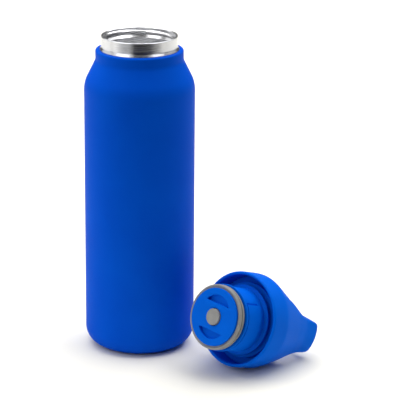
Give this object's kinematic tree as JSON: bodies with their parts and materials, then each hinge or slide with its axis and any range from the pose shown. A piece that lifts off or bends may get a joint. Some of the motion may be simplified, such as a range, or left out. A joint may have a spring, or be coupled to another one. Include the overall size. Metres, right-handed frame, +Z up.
{
  "type": "water bottle",
  "caption": "Insulated cylindrical steel drink bottle with a conical shoulder, standing open, its handled screw lid with a gasketed plug lying beside it.",
  "frame": {"origin": "centre of the bottle's foot, on the surface it stands on", "axes": "+Z up along the bottle's axis; -Y towards the viewer of the open bottle; the loose lid lies on the +X -Y side"},
  "size_m": [0.1558, 0.1185, 0.2122],
  "materials": {
    "blue_coat": "satin powder coat",
    "brushed_steel": "brushed round the axis",
    "polished_steel": "electropolished",
    "copper_foil": "bright foil",
    "solder_glass": null,
    "getter_metal": "sintered",
    "black_rubber": "matte",
    "blue_plastic": "fine matte moulding",
    "grey_silicone": "matte silicone",
    "foam": "moulded foam"
  },
  "bodies": {
    "bottle": {"outer_shell": "blue_coat", "neck_band": "brushed_steel", "inner_flask": "polished_steel", "heat_shield": "copper_foil", "base_cup": "brushed_steel", "seal_bead": "solder_glass", "getter": "getter_metal", "base_pad": "black_rubber"},
    "lid": {"lid_shell": "blue_plastic", "plug_body": "blue_plastic", "plug_gasket": "grey_silicone", "lid_core": "foam"},
    "cover": {"plug_cover": "blue_plastic", "vent_button": "grey_silicone"}
  },
  "joints": [
    {"name": "lid_lift", "type": "slide", "parent": "bottle", "child": "lid", "axis": [0, 0, 1], "range_m": [0, 0.25]},
    {"name": "cover_twist", "type": "hinge", "parent": "lid", "child": "cover", "pos_m": [0.06505, -0.0513, 0.03456], "axis": [-0.6411, -0.6972, 0.3206], "range_deg": [0, 45]}
  ]
}
